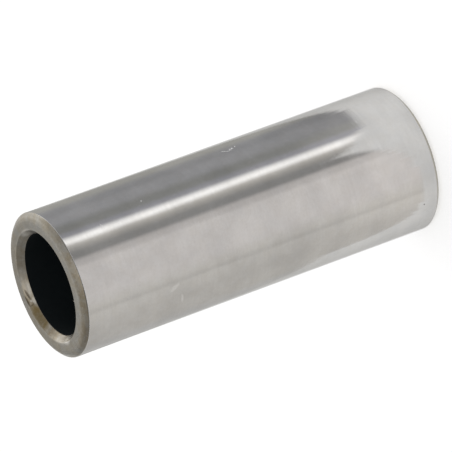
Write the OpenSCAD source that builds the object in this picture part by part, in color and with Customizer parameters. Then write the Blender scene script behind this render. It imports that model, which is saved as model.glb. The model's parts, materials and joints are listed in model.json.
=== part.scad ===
// Gudgeon pin: the hollow steel pin that joins a piston to its connecting rod.
// One turned, case-hardened and ground piece. It stands on one end, with its axis along Z
// and the origin at the middle of the lower end face. Both ends are alike.

/* [Pin] */
// Outside diameter of the ground surface
outer_d = 20; // [12:0.5:40]
// Length over both end faces
pin_l = 55; // [20:0.5:120]
// Wall between the ground surface and the bore
wall = 3; // [2.2:0.1:5]

/* [Outer edge] */
// Leg of the 45 degree chamfer round each end
chamfer = 0.7; // [0.4:0.05:1.2]
// Radius that rounds the end face into the chamfer
shoulder_r = 1.3; // [0.2:0.05:1.6]
// Radius that blends the chamfer into the ground surface
blend_r = 0.35; // [0.1:0.05:0.6]

/* [Bore mouth] */
// How far the mouth opens out from the bore, on the radius
mouth_leg = 0.75; // [0.4:0.05:1.2]
// How deep the mouth's cone goes below the end face
mouth_depth = 0.95; // [0.4:0.05:2]
// Radius that breaks both edges of the cone
break_r = 0.15; // [0.05:0.05:0.25]

/* [Hidden] */
$fn = 128;
steel = [0.72, 0.71, 0.69];
hair = 0.00002;
past_corner = 2;

outer_r = outer_d / 2;
bore_r = outer_r - wall;
mouth_r = bore_r + mouth_leg;
face_r = outer_r - chamfer;

// The shoulder's arc takes no more than the flat ring and the chamfer have room for.
// A unit arc reaches this far along each side of the corner between them.
arc_reach = tan(45 / 2);
straight_left = 0.05;
flat_room = face_r - mouth_r - break_r;
chamfer_room = norm([chamfer, chamfer]) - blend_r * arc_reach - straight_left;
shoulder = min(shoulder_r, flat_room / arc_reach, chamfer_room / arc_reach);

// Section of the wall with one end shaped and the other left square.
// Each corner is [radius from the axis, depth below the shaped end's face, rounding].
shaped_end = [
    [bore_r, pin_l, 0],
    [bore_r, mouth_depth, break_r],
    [mouth_r, 0, break_r],
    [face_r, 0, shoulder],
    [outer_r, chamfer, blend_r],
    [outer_r, pin_l, 0],
];

function place(corner) = [corner[0], corner[1]];
function rounding(corner) = corner[2];

// Direction along one side of corner i: step -1 looks back round the outline, step 1 ahead
function side(corners, i, step) =
    let (n = len(corners), way = place(corners[(i + n + step) % n]) - place(corners[i]))
    way / norm(way);

// Half of the angle between the two sides of corner i
function half_angle(corners, i) = acos(side(corners, i, -1) * side(corners, i, 1)) / 2;

// Where the arc of corner i touches one of its sides
function touch(corners, i, step) =
    place(corners[i]) + side(corners, i, step) * rounding(corners[i]) / tan(half_angle(corners, i));

// Centre of the arc of corner i, on the line that halves the corner
function arc_centre(corners, i) =
    let (inward = side(corners, i, -1) + side(corners, i, 1))
    place(corners[i]) + inward / norm(inward) * rounding(corners[i]) / sin(half_angle(corners, i));

// What the rounding of corner i takes off. It is drawn from the arc's centre out past the corner,
// and the arc crosses both sides a hair out, because one that only met them could leave a sliver.
module corner_tip(corners, i) {
    centre = arc_centre(corners, i);
    kite = [centre, touch(corners, i, -1), place(corners[i]), touch(corners, i, 1)];
    translate(centre) difference() {
        polygon([for (point = kite) (point - centre) * past_corner]);
        circle(rounding(corners[i]) + hair);
    }
}

// Fills a convex outline and rounds its corners with arcs tangent to both sides
module rounded_outline(corners) {
    difference() {
        polygon([for (corner = corners) place(corner)]);
        for (i = [0:len(corners) - 1])
            if (rounding(corners[i]) > 0) corner_tip(corners, i);
    }
}

// The pin, revolved from the section that its two shaped ends have in common
module gudgeon_pin() {
    color(steel) rotate_extrude() intersection() {
        rounded_outline(shaped_end);
        translate([0, pin_l]) mirror([0, 1]) rounded_outline(shaped_end);
    }
}

gudgeon_pin();
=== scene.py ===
import json
import math

import bmesh
import bpy
from mathutils import Matrix, Vector


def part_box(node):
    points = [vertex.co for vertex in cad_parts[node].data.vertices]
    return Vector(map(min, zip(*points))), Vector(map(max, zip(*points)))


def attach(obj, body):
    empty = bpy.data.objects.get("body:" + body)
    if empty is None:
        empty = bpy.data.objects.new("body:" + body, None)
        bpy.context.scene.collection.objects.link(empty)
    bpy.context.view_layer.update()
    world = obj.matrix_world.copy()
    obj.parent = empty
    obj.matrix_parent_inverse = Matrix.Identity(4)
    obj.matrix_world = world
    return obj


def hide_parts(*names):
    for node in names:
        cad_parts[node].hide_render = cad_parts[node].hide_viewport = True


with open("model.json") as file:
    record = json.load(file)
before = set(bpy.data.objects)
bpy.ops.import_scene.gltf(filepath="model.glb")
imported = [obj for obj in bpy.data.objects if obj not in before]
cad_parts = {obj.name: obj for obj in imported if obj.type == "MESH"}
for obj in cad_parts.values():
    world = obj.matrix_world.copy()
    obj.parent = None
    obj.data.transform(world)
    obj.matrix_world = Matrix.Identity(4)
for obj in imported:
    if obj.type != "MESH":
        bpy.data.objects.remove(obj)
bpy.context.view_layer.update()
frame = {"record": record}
scene = bpy.context.scene
scene.view_settings.view_transform = "Standard"


# The camera. The pin stands on its end, so the camera is turned over on its side to see it
# slant across the picture, with the upper end at the lower left. It has a long lens and stands
# far back, as the photograph has almost no perspective.
pin_low, pin_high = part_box("gudgeon_pin")
near_end = Vector((0, 0, pin_high.z))
near_end_px = Vector((45.69, 286.73))
picture_px = 452
near_end_distance = 0.860
look_down = math.radians(24.71)
slant = math.radians(20.05)
quarter_turn = math.radians(90)

camera = bpy.data.objects.new("camera", bpy.data.cameras.new("camera"))
scene.collection.objects.link(camera)
scene.camera = camera
camera.data.sensor_width = 36
camera.data.lens = 526
camera.data.clip_start = 0.05
camera.data.clip_end = 5
metres_per_px = near_end_distance * camera.data.sensor_width / camera.data.lens / picture_px
near_end_seen = Vector((
    (near_end_px.x - picture_px / 2) * metres_per_px,
    (picture_px / 2 - near_end_px.y) * metres_per_px,
    -near_end_distance,
))
tilt = Matrix.Rotation(quarter_turn - look_down, 3, "X")
roll = Matrix.Rotation(-quarter_turn - slant, 3, "Z")
camera_turn = tilt @ roll
camera_place = near_end - camera_turn @ near_end_seen
camera.matrix_world = Matrix.Translation(camera_place) @ camera_turn.to_4x4()


# The floor, a plain white table top that the pin stands on. The camera sees it white, with the
# pin's soft shadow at its foot, and the steel mirrors it as the camera sees it.
floor_half = 3.0
floor_white = (0.8, 0.8, 0.8, 1)
floor_lift = 0.60
pure_white = (1, 1, 1, 1)


def node(tree, kind, sockets=None, **settings):
    """Adds a node to a tree; a socket is given a value, or another node's output to link."""
    made = tree.nodes.new(kind)
    for name, value in settings.items():
        setattr(made, name, value)
    for key, value in (sockets or {}).items():
        if isinstance(value, bpy.types.NodeSocket):
            tree.links.new(value, made.inputs[key])
        else:
            made.inputs[key].default_value = value
    return made


def math_of(tree, operation, first, second):
    return node(tree, "ShaderNodeMath", {0: first, 1: second}, operation=operation).outputs[0]


def background_seen(tree):
    """Is 1 for what the camera sees, straight or in metal and glass, and 0 for light on things."""
    path = node(tree, "ShaderNodeLightPath").outputs
    seen = math_of(tree, "MAXIMUM", path["Is Camera Ray"], path["Is Glossy Ray"])
    return math_of(tree, "MAXIMUM", seen, path["Is Transmission Ray"])


def new_material(name):
    """Starts a material with no nodes, and gives it with its tree."""
    material = bpy.data.materials.new(name)
    material.use_nodes = True
    material.node_tree.nodes.clear()
    return material, material.node_tree


floor_mesh = bpy.data.meshes.new("floor")
floor_corners = [(-1, -1), (1, -1), (1, 1), (-1, 1)]
floor_mesh.from_pydata([(x * floor_half, y * floor_half, 0) for x, y in floor_corners], [], [(0, 1, 2, 3)])
floor = bpy.data.objects.new("floor", floor_mesh)
scene.collection.objects.link(floor)

# Its glow is only seen, straight or mirrored, and lights nothing
table_white, tree = new_material("table_white")
table_white.cycles.emission_sampling = "NONE"
floor_mesh.materials.append(table_white)
matt = node(tree, "ShaderNodeBsdfDiffuse", {"Color": floor_white})
lift = math_of(tree, "MULTIPLY", background_seen(tree), floor_lift)
glow = node(tree, "ShaderNodeEmission", {"Color": pure_white, "Strength": lift})
both = node(tree, "ShaderNodeAddShader", {0: matt.outputs[0], 1: glow.outputs[0]})
node(tree, "ShaderNodeOutputMaterial", {"Surface": both.outputs[0]})


# The room's light, all of it in the world: the walls and ceiling of a dim studio, with soft
# patches that its lamps light. No part of it is in the picture.
neutral = (1.0, 0.99, 0.985)

# How bright the walls are, by degrees from +X towards the camera
walls = [
    (-180, 0.325), (-150, 0.36), (-130, 0.385), (-115, 0.48), (-95, 0.56), (-85, 0.61),
    (-77, 0.82), (-68, 1.0), (-34, 0.95), (-18, 0.62), (5, 0.54), (31, 0.33), (45, 0.34),
    (60, 0.42), (90, 0.29), (120, 0.16), (149, 0.25), (180, 0.325),
]
# And the ceiling
ceiling = [
    (-180, 0.48), (-120, 0.56), (-90, 0.68), (-60, 0.67), (0, 0.56), (30, 0.61), (50, 0.71),
    (90, 0.69), (135, 0.59), (165, 0.55), (180, 0.48),
]
# Between which heights they pass into each other, in degrees over the horizon
walls_end = 34
ceiling_begins = 58
# Patches that the lamps light: bearing and height of the middle, how far out it is full and
# where it ends, in degrees, and how bright it is
lit_patches = [
    (-42, 14, 9, 24, 1.24),
    (-24, 2, 8, 20, 1.20),
    (-87, 44, 7, 18, 0.77),
    (-112, 38, 6, 16, 0.68),
    (98, 47, 8, 24, 1.0),
]


def sine(degrees):
    return math.sin(math.radians(degrees))


def cosine(degrees):
    return math.cos(math.radians(degrees))


def tinted(brightness, tint):
    return (*(brightness * channel for channel in tint), 1)


def ramp(tree, factor, stops):
    """Adds a colour ramp with the given (position, colour) stops."""
    made = node(tree, "ShaderNodeValToRGB", {"Fac": factor})
    elements = made.color_ramp.elements
    elements.remove(elements[1])
    for place, (position, colour) in enumerate(stops):
        stop = elements.new(position) if place else elements[0]
        stop.position = position
        stop.color = colour
    return made.outputs["Color"]


def mixed(tree, factor, first, second, way="MIX"):
    """Mixes two colours. A Mix node's colour sockets are numbers 6 and 7, and 2 comes out."""
    made = node(tree, "ShaderNodeMix", {0: factor, 6: first, 7: second}, data_type="RGBA", blend_type=way)
    return made.outputs[2]


def bearing_of(tree, vector):
    """The bearing of a vector round Z, from +X towards the camera, as a place on a ramp."""
    flipped = node(tree, "ShaderNodeMapping", {"Vector": vector, "Scale": (1, -1, 1)})
    gradient = node(tree, "ShaderNodeTexGradient", {"Vector": flipped.outputs[0]}, gradient_type="RADIAL")
    return gradient.outputs["Fac"]


def on_ramp(degrees):
    """Where a bearing from -180 to 180 degrees is on a ramp from 0 to 1."""
    return degrees / 360 + 0.5


def step_up(tree, value, begin, end):
    """Rises softly from 0 to 1 as a value goes from begin to end."""
    return node(tree, "ShaderNodeMapRange", {
        "Value": value, "From Min": begin, "From Max": end,
    }, interpolation_type="SMOOTHSTEP").outputs[0]


studio = bpy.data.worlds.new("studio")
scene.world = studio
studio.use_nodes = True
tree = studio.node_tree
tree.nodes.clear()

direction = node(tree, "ShaderNodeTexCoord").outputs["Generated"]
way_round = bearing_of(tree, direction)
rise = node(tree, "ShaderNodeSeparateXYZ", {0: direction}).outputs["Z"]
wall, roof = (
    ramp(tree, way_round, [(on_ramp(degrees), tinted(level, neutral)) for degrees, level in row])
    for row in (walls, ceiling)
)
room = mixed(tree, step_up(tree, rise, sine(walls_end), sine(ceiling_begins)), wall, roof)
for bearing, height, inner, outer, level in lit_patches:
    toward = (cosine(height) * cosine(bearing), -cosine(height) * sine(bearing), sine(height))
    aim = node(tree, "ShaderNodeVectorMath", {0: direction, 1: toward}, operation="DOT_PRODUCT")
    patch = step_up(tree, aim.outputs["Value"], cosine(outer), cosine(inner))
    room = mixed(tree, patch, room, tinted(level, neutral))
light = node(tree, "ShaderNodeBackground", {"Color": room, "Strength": 1.0})
node(tree, "ShaderNodeOutputWorld", {"Surface": light.outputs[0]})


# Sheets of card and dark cloth, with a strip lamp among them, laid out on the table round the
# pin. They begin where the picture ends, fan out the way the pin's side mirrors the table, and
# are there for the steel alone, so that the table stays plain from every side.
cool = (0.985, 0.99, 1.03)
straw = (1.0, 0.99, 0.95)
warm = (1.0, 0.972, 0.93)
rosy = (1.0, 0.963, 0.948)
amber = (1.0, 0.97, 0.922)
olive = (0.985, 0.993, 0.975)
bluish = (0.98, 0.985, 1.07)

# Round the pin, in degrees from +X towards the camera: where each thing begins and ends, how
# bright it is at both edges, and its tint
round_the_pin = [
    (-170, -145, 0.725, 0.77, warm),  # far card
    (-128, -109, 0.85, 0.98, neutral),  # far card, the part in straight light
    (-97, -86, 0.28, 0.28, straw),  # hollow of the far card
    (-77, -50, 0.79, 0.69, straw),  # end of the far card
    (-36, -26, 0.495, 0.445, cool),  # dark cloth
    (-14, -2, 0.478, 0.465, cool),  # fold of the cloth
    (10, 18, 0.352, 0.358, olive),  # dark cloth
    (24, 28, 0.445, 0.482, bluish),  # lamp's glow on the cloth
    (35, 39, 1.53, 1.66, neutral),  # strip lamp
    (45, 50, 0.77, 0.555, amber),  # lamp's glow
    (57, 65, 0.38, 0.37, neutral),  # dark gap
    (70, 77, 0.70, 0.775, rosy),  # edge of the near card
    (81, 128, 0.90, 0.915, rosy),  # near card
    (146, 151.5, 0.808, 0.723, warm),  # shaded end of the near card
    (153, 153.5, 0.708, 0.708, warm),  # join of the cards
    (157.5, 180, 0.795, 0.727, warm),  # far card
]
# By what share that brightness changes close to the pin, by the same degrees
close_by = [
    (-180, 1.09), (-140, 1.07), (-110, 1.03), (-80, 1.0), (-56, 0.88), (-44, 0.69), (-36, 0.73),
    (-22, 0.89), (0, 1.0), (10, 1.45), (22, 1.5), (32, 1.1), (40, 1.04), (50, 1.02), (60, 1.0),
    (70, 1.18), (90, 1.06), (110, 1.12), (130, 1.1), (160, 1.14), (180, 1.1),
]
# How far over the horizon the mirrored ray points where that begins and where it is full
close_by_begins = -25.1
close_by_full = -26.2
mm = 0.001
outer_r = (pin_high.x - pin_low.x) / 2
# How high the sheets lie, how clear of the picture they keep, how many times as high a pin would
# mirror all of them, and in how many steps they are laid out
sheet_height = 0.2 * mm
margin_px = 4
sheet_reach = 2.5
steps_round = 360
steps_out = 150


def in_picture(place):
    """Tells whether the camera has a place in its picture, or close to it."""
    seen = camera_turn.transposed() @ (place - camera_place)
    px_per_metre = camera.data.lens / camera.data.sensor_width * picture_px / -seen.z
    return max(abs(seen.x), abs(seen.y)) * px_per_metre < picture_px / 2 + margin_px


def mirrored(turn, height):
    """Where the pin's side mirrors the table, with the bearing and rise of the ray that goes there."""
    outward = Vector((cosine(turn), -sine(turn), 0))
    on_pin = outward * outer_r + Vector((0, 0, height))
    ray = (on_pin - camera_place).normalized().reflect(outward)
    bearing = math.degrees(math.atan2(-ray.y, ray.x))
    bearing_far_off = 2 * turn - 90
    bearing += 360 * round((bearing_far_off - bearing) / 360)
    return on_pin + ray * ((height - sheet_height) / -ray.z), bearing, ray.z


spots = []
for out in range(1, steps_out + 1):
    height = pin_high.z * sheet_reach * out / steps_out
    for step in range(steps_round + 1):
        spots.append(mirrored(180 * step / steps_round, height))
clear = [not in_picture(place) for place, bearing, ray_rise in spots]
sheet_faces = []
row_length = steps_round + 1
for out in range(steps_out - 1):
    for step in range(steps_round):
        start = out * row_length + step
        face_corners = (start, start + 1, start + row_length + 1, start + row_length)
        if all(clear[corner] for corner in face_corners):
            sheet_faces.append(face_corners)
sheet_mesh = bpy.data.meshes.new("sheets")
sheet_mesh.from_pydata([place for place, bearing, ray_rise in spots], [], sheet_faces)
sheet_way = sheet_mesh.attributes.new("way_round", "FLOAT", "POINT")
sheet_rise = sheet_mesh.attributes.new("rise", "FLOAT", "POINT")
for index, (place, bearing, ray_rise) in enumerate(spots):
    sheet_way.data[index].value = on_ramp(bearing)
    sheet_rise.data[index].value = ray_rise
sheets = bpy.data.objects.new("sheets", sheet_mesh)
scene.collection.objects.link(sheets)
sheets.visible_camera = False
sheets.visible_diffuse = False
sheets.visible_shadow = False


def painted(tree, attribute_name):
    """What was painted on a mesh under a name."""
    return node(tree, "ShaderNodeAttribute", attribute_name=attribute_name).outputs["Fac"]


card_and_cloth, tree = new_material("card_and_cloth")
card_and_cloth.cycles.emission_sampling = "NONE"
sheet_mesh.materials.append(card_and_cloth)
card_stops = []
for begin, end, first, last, tint in round_the_pin:
    card_stops.append((on_ramp(begin), tinted(first, tint)))
    card_stops.append((on_ramp(end), tinted(last, tint)))
close_stops = [(on_ramp(degrees), tinted(share, neutral)) for degrees, share in close_by]
whole_turn = math_of(tree, "MODULO", painted(tree, "way_round"), 1.0)
closeness = step_up(tree, painted(tree, "rise"), sine(close_by_begins), sine(close_by_full))
cards = ramp(tree, whole_turn, card_stops)
cards = mixed(tree, closeness, cards, ramp(tree, whole_turn, close_stops), way="MULTIPLY")
card_light = node(tree, "ShaderNodeEmission", {"Color": cards, "Strength": 1.0})
node(tree, "ShaderNodeOutputMaterial", {"Surface": card_light.outputs[0]})


# The gudgeon pin, one piece of case-hardened steel. It is turned from bar, bored right through,
# chamfered at both ends and ground outside between centres, so its lay runs round the axis.
# The bore is near black inside, and the ends are as the lathe left them.
pin_l = pin_high.z - pin_low.z
mounts = {mount["name"]: mount for mount in frame["record"]["mounts"]}
bore_r = mounts["bore"]["dims"]["r_mm"] * mm
# The sizes that the frame doesn't give, as the solid has them
chamfer = 0.7 * mm
shoulder_r = 1.3 * mm
blend_r = 0.35 * mm
mouth_leg = 0.75 * mm
mouth_depth = 0.95 * mm
break_r = 0.15 * mm
mouth_r = bore_r + mouth_leg
face_r = outer_r - chamfer

# Corners of the wall's section, as radius, height and rounding
lower_end = [
    (bore_r, mouth_depth, break_r),
    (mouth_r, 0, break_r),
    (face_r, 0, shoulder_r),
    (outer_r, chamfer, blend_r),
]
upper_end = [(radius, pin_l - depth, rounding) for radius, depth, rounding in reversed(lower_end)]
section = lower_end + upper_end

section_mesh = bpy.data.meshes.new("gudgeon_pin_steel")
section_mesh.from_pydata(
    [(radius - outer_r, -height, 0) for radius, height, rounding in section],
    [(i, (i + 1) % len(section)) for i in range(len(section))],
    [],
)
roundings = section_mesh.attributes.new("rounding", "FLOAT", "POINT")
for corner, (radius, height, rounding) in zip(roundings.data, section):
    corner.value = rounding
pin = bpy.data.objects.new("gudgeon_pin_steel", section_mesh)
scene.collection.objects.link(pin)


def between(tree, value, low, high):
    """Brings a 0 to 1 value between two numbers."""
    return node(tree, "ShaderNodeMapRange", {"Value": value, "To Min": low, "To Max": high}).outputs[0]


def times(tree, first, second):
    return math_of(tree, "MULTIPLY", first, second)


def sum_of(tree, total, *others):
    for other in others:
        total = math_of(tree, "ADD", total, other)
    return total


def object_place(tree):
    return node(tree, "ShaderNodeTexCoord").outputs["Object"]


def place_along(tree, axis):
    return node(tree, "ShaderNodeSeparateXYZ", {0: object_place(tree)}).outputs[axis]


def axis_distance(tree, place):
    """How far a place is from the pin's axis."""
    across = node(tree, "ShaderNodeVectorMath", {0: place, 1: (1, 1, 0)}, operation="MULTIPLY")
    return node(tree, "ShaderNodeVectorMath", {0: across.outputs[0]}, operation="LENGTH").outputs["Value"]


def lay_lines(tree, gap, length, detail):
    """Noise for the lines that a tool or a wheel leaves round the axis, about a gap apart."""
    place = object_place(tree)
    stretched = node(tree, "ShaderNodeMapping", {
        "Vector": place, "Scale": (1 / length, 1 / length, 1 / gap),
    })
    outward = math_of(tree, "DIVIDE", axis_distance(tree, place), gap)
    return node(tree, "ShaderNodeTexNoise", {
        "Vector": stretched.outputs[0], "W": outward, "Scale": 1.0, "Detail": detail,
    }, noise_dimensions="4D").outputs[0]


def blotches(tree, size, detail):
    """Noise for soft blotches of about one size."""
    return node(tree, "ShaderNodeTexNoise", {
        "Vector": object_place(tree), "Scale": 1 / size, "Detail": detail,
    }).outputs[0]


def drawn_out(tree, noise, low=0.3, high=0.7):
    """Draws a noise, which keeps near its middle, out over 0 to 1."""
    return step_up(tree, noise, low, high)


def touched(tree, colour, pattern, most, touch):
    """Gives a colour a touch of another where a pattern is high, with the most it may take."""
    return mixed(tree, between(tree, pattern, 0.0, most), colour, touch)


def steel_shader(tree, colour, roughness, lines, line_depth, anisotropy, edge_grey):
    """Ends a material as bare steel with lines round the axis, which draw its gloss out along it."""
    bump = node(tree, "ShaderNodeBump", {"Height": lines, "Distance": line_depth, "Strength": 1.0})
    tangent = node(tree, "ShaderNodeTangent", direction_type="RADIAL", axis="Z")
    shader = node(tree, "ShaderNodeBsdfPrincipled", {
        "Base Color": colour, "Metallic": 1.0, "Roughness": roughness, "Normal": bump.outputs[0],
        "Anisotropic": anisotropy, "Anisotropic Rotation": 0.25, "Tangent": tangent.outputs[0],
        "Specular Tint": edge_grey,
    })
    node(tree, "ShaderNodeOutputMaterial", {"Surface": shader.outputs[0]})


# The ground side, bright with a fine lay round the axis
ground_steel, tree = new_material("ground_steel")
ground_grey = (0.535, 0.532, 0.525, 1)
ground_light = (0.612, 0.607, 0.597, 1)
haze_brown = (0.44, 0.38, 0.29, 1)
lay_dark = (0.2, 0.2, 0.2, 1)
scuff_light = (0.66, 0.655, 0.645, 1)
speck_dark = (0.08, 0.08, 0.07, 1)
scuff_amount = 0.9
# Bare steel mirrors less than an ideal metal where it is seen almost edge on
ground_edge = (0.64, 0.64, 0.63, 1)
ground_roughness = (0.11, 0.14)
cloud_roughness = (-0.01, 0.01)
scratch_roughness = 0.50
scuff_roughness = 0.15
lay_depth = 0.0005 * mm

# Small marks of handling on it, the scratches painted pure white, which paints a glint on them:
# bearing in degrees from +X towards the camera, then depth below the upper end, length and width
# in millimetres, and how far it leans from the lay, in degrees
glinting_scratches = [
    (29.8, 28.4, 0.95, 0.17, 49), (31.6, 28.95, 0.65, 0.18, 90), (30.2, 29.3, 0.60, 0.20, 20),
    (29.6, 29.65, 0.50, 0.32, 35), (28.4, 30.2, 0.45, 0.16, -30), (51.5, 13.5, 0.26, 0.24, 0),
]
scuffs = [
    (126, 13.65, 1.8, 0.7, 121), (138.7, 14.8, 1.8, 0.42, 5),
    (60, 6.6, 0.5, 0.4, 0), (50, 46.7, 0.4, 0.4, 0),
]
dark_specks = [(134, 52.2, 0.24, 0.22, 0)]
# A mark's edge: the size of its raggedness, and as shares of the mark's half size how far it
# wanders, and where it starts and ends
edge_grain = 0.15 * mm
edge_wander = 0.3
edge_start = 0.5
edge_end = 1.1


def marks(tree, places):
    """Masks small marks on the ground side, 1 inside a mark and 0 past its ragged edge."""
    turn = math_of(tree, "SUBTRACT", bearing_of(tree, object_place(tree)), 0.5)
    arc = times(tree, turn, 2 * math.pi * outer_r)
    below = math_of(tree, "SUBTRACT", pin_l, place_along(tree, "Z"))
    unrolled = node(tree, "ShaderNodeCombineXYZ", {"X": arc, "Y": below}).outputs[0]
    wander = between(tree, blotches(tree, edge_grain, 3.0), -edge_wander, edge_wander)
    mask = 0.0
    for bearing, depth, length, width, lean in places:
        placed = node(tree, "ShaderNodeMapping", {
            "Vector": unrolled, "Location": (math.radians(bearing) * outer_r, depth * mm, 0),
            "Rotation": (0, 0, math.radians(lean)), "Scale": (length / 2 * mm, width / 2 * mm, 1),
        }, vector_type="TEXTURE")
        reach = node(tree, "ShaderNodeVectorMath", {0: placed.outputs[0]}, operation="LENGTH")
        ragged = sum_of(tree, reach.outputs["Value"], wander)
        mask = math_of(tree, "MAXIMUM", mask, step_up(tree, ragged, edge_end, edge_start))
    return mask


lay = drawn_out(tree, lay_lines(tree, 0.45 * mm, 33 * mm, 3.0))
dashes = drawn_out(tree, lay_lines(tree, 0.18 * mm, 2.2 * mm, 2.0))
cloud = drawn_out(tree, blotches(tree, 5 * mm, 4.0))
haze = drawn_out(tree, blotches(tree, 1.3 * mm, 2.0))
grain = drawn_out(tree, blotches(tree, 0.3 * mm, 1.0))
scratch_with_glint = marks(tree, glinting_scratches)
scuffed = times(tree, marks(tree, scuffs), scuff_amount)
specked = marks(tree, dark_specks)
colour = mixed(tree, cloud, ground_grey, ground_light)
colour = touched(tree, colour, haze, 0.08, haze_brown)
colour = touched(tree, colour, grain, 0.04, lay_dark)
colour = touched(tree, colour, lay, 0.025, lay_dark)
colour = touched(tree, colour, dashes, 0.035, lay_dark)
colour = mixed(tree, scuffed, colour, scuff_light)
# The scratches, real marks, painted pure white: a painted glint on them
colour = mixed(tree, scratch_with_glint, colour, pure_white)
colour = mixed(tree, specked, colour, speck_dark)
roughness = sum_of(
    tree, between(tree, lay, *ground_roughness), between(tree, cloud, *cloud_roughness),
    times(tree, scratch_with_glint, scratch_roughness), times(tree, scuffed, scuff_roughness),
)
steel_shader(tree, colour, roughness, lay, lay_depth, anisotropy=0.75, edge_grey=ground_edge)

# The ends, with the lines of the turning tool, a brown film in the mouth and on the chamfers,
# bright rubbed patches on the mouth's cone that are also painted highlights, and grime in the nicks
turned_steel, tree = new_material("turned_steel")
grey_steel = (0.432, 0.43, 0.402, 1)
warm_steel = (0.45, 0.413, 0.333, 1)
bare_steel = (0.50, 0.48, 0.43, 1)
# Bright steel for rubbed specks, and for the painted highlights on the mouth's cone
rubbed_steel_and_highlight = (0.80, 0.78, 0.72, 1)
smudge_dark = (0.1, 0.1, 0.09, 1)
line_dark = (0.09, 0.085, 0.08, 1)
grain_dark = (0.1, 0.09, 0.07, 1)
dull_film = (0.25, 0.22, 0.15, 1)
brown_film = (0.355, 0.305, 0.225, 1)
stain_brown = (0.205, 0.14, 0.034, 1)
grime_brown = (0.085, 0.06, 0.03, 1)
turned_edge = (0.88, 0.88, 0.88, 1)
turned_roughness = (0.27, 0.36)
mottle_roughness = (-0.03, 0.04)
grime_roughness = 0.25
line_depth = 0.002 * mm

# How thick the brown film is at a radius
film_edge = 0.12 * mm
film_by_radius = [
    (mouth_r - film_edge, 1.0), (mouth_r + film_edge, 0.1),
    (face_r - 4 * film_edge, 0.2), (face_r + film_edge, 1.0),
]
# Where the films thin out: along which axis, from where to where, and what is left at both
brown_film_left = [
    ("X", -1 * mm, 7 * mm, 1.0, 0.45),
    ("X", -9.7 * mm, -8 * mm, 0.1, 1.0),
    ("Z", 0, pin_l, 0.25, 1.0),
]
dull_film_left = [("Y", -8 * mm, 5 * mm, 0.0, 0.28)]


def thinned(tree, film, places):
    """Thins a film out along the axes."""
    for axis, begin, end, first, last in places:
        share = between(tree, step_up(tree, place_along(tree, axis), begin, end), first, last)
        film = times(tree, film, share)
    return film


wall_share = node(tree, "ShaderNodeMapRange", {
    "Value": axis_distance(tree, object_place(tree)), "From Min": bore_r, "From Max": outer_r,
}).outputs[0]
edges = ramp(tree, wall_share, [
    ((radius - bore_r) / (outer_r - bore_r), (thickness, thickness, thickness, 1))
    for radius, thickness in film_by_radius
])
lines = drawn_out(tree, lay_lines(tree, 0.24 * mm, 33 * mm, 3.0))
mottle = drawn_out(tree, blotches(tree, 1.6 * mm, 4.0))
smudges = drawn_out(tree, blotches(tree, 2.6 * mm, 2.0))
patches = drawn_out(tree, blotches(tree, 0.9 * mm, 3.0))
specks = drawn_out(tree, blotches(tree, 0.3 * mm, 2.0), low=0.55, high=0.8)
grain = drawn_out(tree, blotches(tree, 0.26 * mm, 1.0))
flecks = drawn_out(tree, blotches(tree, 0.35 * mm, 3.0))
brown = thinned(tree, times(tree, edges, between(tree, patches, 0.30, 1.15)), brown_film_left)
dull = thinned(tree, math_of(tree, "SUBTRACT", 1.0, edges), dull_film_left)
stain = times(tree, painted(tree, "stain"), between(tree, flecks, 0.8, 1.15))
grime = times(tree, painted(tree, "grime"), between(tree, flecks, 0.55, 1.15))
colour = mixed(tree, mottle, grey_steel, warm_steel)
colour = touched(tree, colour, smudges, 0.12, smudge_dark)
colour = mixed(tree, between(tree, patches, 0.30, 0.0), colour, bare_steel)
colour = mixed(tree, dull, colour, dull_film)
colour = mixed(tree, brown, colour, brown_film)
colour = touched(tree, colour, lines, 0.16, line_dark)
colour = touched(tree, colour, specks, 0.26, rubbed_steel_and_highlight)
colour = touched(tree, colour, grain, 0.13, grain_dark)
# Painted highlights on the mouth's cone, laid on as patches of rubbed bright steel
colour = mixed(tree, painted(tree, "rub_highlight"), colour, rubbed_steel_and_highlight)
colour = mixed(tree, stain, colour, stain_brown)
colour = mixed(tree, grime, colour, grime_brown)
roughness = sum_of(
    tree, between(tree, lines, *turned_roughness), between(tree, mottle, *mottle_roughness),
    times(tree, painted(tree, "grime"), grime_roughness),
)
steel_shader(tree, colour, roughness, lines, line_depth, anisotropy=0.3, edge_grey=turned_edge)

# The bore, near black, with dull blotches
bore_black, tree = new_material("bore_black")
bore_near_black = (0.0095, 0.014, 0.0165, 1)
bore_dark_grey = (0.016, 0.0215, 0.0235, 1)
bore_roughness = (0.55, 0.85)
bore_blotch_height = 0.02 * mm
bore_blotches = blotches(tree, 0.8 * mm, 5.0)
bump = node(tree, "ShaderNodeBump", {"Height": bore_blotches, "Distance": bore_blotch_height, "Strength": 1.0})
shader = node(tree, "ShaderNodeBsdfPrincipled", {
    "Base Color": mixed(tree, bore_blotches, bore_near_black, bore_dark_grey), "Metallic": 0.0,
    "Roughness": between(tree, bore_blotches, *bore_roughness), "Specular IOR Level": 0.2,
    "Normal": bump.outputs[0],
})
node(tree, "ShaderNodeOutputMaterial", {"Surface": shader.outputs[0]})

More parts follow.
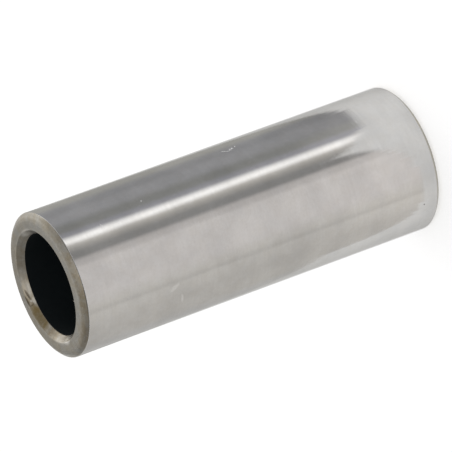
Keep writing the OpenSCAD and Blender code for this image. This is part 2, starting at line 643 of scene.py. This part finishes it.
# The lathe: rounds the corners of the section, cuts it into rings and revolves it
lathe = bpy.data.node_groups.new("pin_lathe", "GeometryNodeTree")
lathe.is_modifier = True
lathe.interface.new_socket("Geometry", in_out="INPUT", socket_type="NodeSocketGeometry")
lathe.interface.new_socket("Geometry", in_out="OUTPUT", socket_type="NodeSocketGeometry")
hair = 0.02 * mm
sizes = {
    "Outer radius": ("NodeSocketFloat", outer_r),
    "Facets round": ("NodeSocketInt", 576),
    "Facets in a rounding": ("NodeSocketInt", 6),
    "Gap of rings on the ends": ("NodeSocketFloat", 0.09 * mm),
    "Gap of rings on the sides": ("NodeSocketFloat", 2.2 * mm),
    "Longest run on the ends": ("NodeSocketFloat", 3 * mm),
    "Ground from radius": ("NodeSocketFloat", outer_r - hair),
    "Bore up to radius": ("NodeSocketFloat", bore_r + hair),
}
identifiers = {}
for name, (kind, value) in sizes.items():
    identifiers[name] = lathe.interface.new_socket(name, in_out="INPUT", socket_type=kind).identifier
given = lathe.nodes.new("NodeGroupInput").outputs

outline = node(lathe, "GeometryNodeMeshToCurve", {"Mesh": given["Geometry"]})
corner_rounding = node(lathe, "GeometryNodeInputNamedAttribute", {"Name": "rounding"}, data_type="FLOAT")
rounded = node(lathe, "GeometryNodeFilletCurve", {
    "Curve": outline.outputs[0], "Radius": corner_rounding.outputs["Attribute"],
    "Count": given["Facets in a rounding"],
}, mode="POLY")
here = node(lathe, "GeometryNodeInputPosition").outputs[0]
following = node(lathe, "GeometryNodeOffsetPointInCurve", {"Offset": 1})
there = node(lathe, "GeometryNodeFieldAtIndex", {
    "Value": here, "Index": following.outputs["Point Index"],
}, data_type="FLOAT_VECTOR", domain="POINT")
gone = node(lathe, "ShaderNodeVectorMath", {0: here, 1: there.outputs[0]}, operation="DISTANCE")
run = gone.outputs["Value"]
is_side = math_of(lathe, "GREATER_THAN", run, given["Longest run on the ends"])
ring_gap = node(lathe, "ShaderNodeMix", {
    0: is_side, 2: given["Gap of rings on the ends"], 3: given["Gap of rings on the sides"],
}, data_type="FLOAT").outputs[0]
cuts = math_of(lathe, "DIVIDE", run, ring_gap)
ringed = node(lathe, "GeometryNodeSubdivideCurve", {"Curve": rounded.outputs[0], "Cuts": cuts})
circle = node(lathe, "GeometryNodeCurvePrimitiveCircle", {
    "Resolution": given["Facets round"], "Radius": given["Outer radius"],
})
turning = node(lathe, "GeometryNodeSetCurveNormal", {"Curve": circle.outputs[0]}, mode="Z_UP")
revolved = node(lathe, "GeometryNodeCurveToMesh", {
    "Curve": turning.outputs[0], "Profile Curve": ringed.outputs[0],
})
smooth = node(lathe, "GeometryNodeSetShadeSmooth", {"Geometry": revolved.outputs[0]})
radius_here = axis_distance(lathe, here)
is_ground = math_of(lathe, "GREATER_THAN", radius_here, given["Ground from radius"])
is_bore = math_of(lathe, "LESS_THAN", radius_here, given["Bore up to radius"])
whole = node(lathe, "GeometryNodeRealizeInstances", {"Geometry": smooth.outputs[0]})
finish = node(lathe, "GeometryNodeSetMaterial", {"Geometry": whole.outputs[0], "Material": turned_steel})
for selection, material in ((is_ground, ground_steel), (is_bore, bore_black)):
    finish = node(lathe, "GeometryNodeSetMaterial", {
        "Geometry": finish.outputs[0], "Selection": selection, "Material": material,
    })
node(lathe, "NodeGroupOutput", {"Geometry": finish.outputs[0]})

turn = pin.modifiers.new("turn", "NODES")
turn.node_group = lathe
for name, (kind, value) in sizes.items():
    turn[identifiers[name]] = value
graph = bpy.context.evaluated_depsgraph_get()
turned_mesh = bpy.data.meshes.new_from_object(pin.evaluated_get(graph))
pin.modifiers.remove(turn)
pin.data = turned_mesh

welded = bmesh.new()
welded.from_mesh(turned_mesh)
bmesh.ops.remove_doubles(welded, verts=welded.verts, dist=0.001 * mm)
bmesh.ops.recalc_face_normals(welded, faces=welded.faces)
welded.to_mesh(turned_mesh)
welded.free()

# Wear on the cone of the upper mouth, and the rubs, which are painted highlights: bearing in
# degrees, share of the way down the cone, length and width in millimetres, and amount. A nick and
# a burr also have their depth in millimetres, which is negative where it stands proud, and their
# lean from the lay in degrees
nicks = [
    (268.6, 0.40, 1.60, 0.22, 0.55, 0.07, -13), (262.4, 0.10, 1.55, 0.24, 0.65, 0.06, -6),
    (257.6, 0.46, 0.80, 0.22, 0.42, 0.05, 73), (352.0, 0.95, 0.5, 0.3, 0.4, 0.05, 40),
]
stains = [(246.0, 0.52, 2.9, 1.15, 0.66), (235.0, 0.52, 2.6, 1.15, 0.56), (267.0, 0.25, 1.6, 0.8, 0.06)]
# Rubbed patches, painted lighter where the cone mirrors light: painted highlights
rub_highlights = [
    (177.5, 0.45, 2.4, 1.4, 1.0), (192.5, 0.45, 3.5, 1.4, 0.27), (226.0, 0.50, 0.8, 0.9, 0.22),
    (290.0, 0.50, 2.0, 1.2, 0.12), (260.5, 0.82, 0.9, 0.5, 0.45), (261.5, 0.50, 0.35, 0.3, 0.45),
    (276.0, 0.55, 2.6, 1.2, 0.18), (359.5, 0.45, 3.7, 1.2, 0.80),
]
burrs = [(113.5, 0.16, 0.30, 0.24, 0.20, -0.20, 0)]
cone_run = math.hypot(mouth_leg, mouth_depth)
soft_edge = 0.5


def mark_mouth(paint, bearing, share, length, width, amount, depth=0.0, lean=0):
    """Presses a mark into the upper mouth's cone and paints it, with a soft edge."""
    outward = Vector((cosine(bearing), -sine(bearing), 0))
    along = Vector((-sine(bearing), -cosine(bearing), 0))
    down = (-outward * mouth_leg - Vector((0, 0, mouth_depth))) / cone_run
    into = along.cross(down)
    middle = outward * mouth_r + Vector((0, 0, pin_l)) + down * cone_run * share
    long_way = along * cosine(lean) + down * sine(lean)
    short_way = down * cosine(lean) - along * sine(lean)
    for vertex in turned_mesh.vertices:
        offset = vertex.co - middle
        if offset.length > max(length, width) * mm:
            continue
        reach = Vector((offset.dot(long_way) / length, offset.dot(short_way) / width)).length * 2 / mm
        vertex.co += into * depth * mm * max(0, 1 - reach * reach)
        mark = paint.data[vertex.index]
        mark.value = max(mark.value, amount * min(1, max(0, (1 - reach) / soft_edge + soft_edge)))


for attribute_name, places in (("grime", nicks), ("stain", stains), ("rub_highlight", rub_highlights + burrs)):
    paint = turned_mesh.attributes.new(attribute_name, "FLOAT", "POINT")
    for place in places:
        mark_mouth(paint, *place)

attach(pin, "root")
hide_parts("gudgeon_pin")
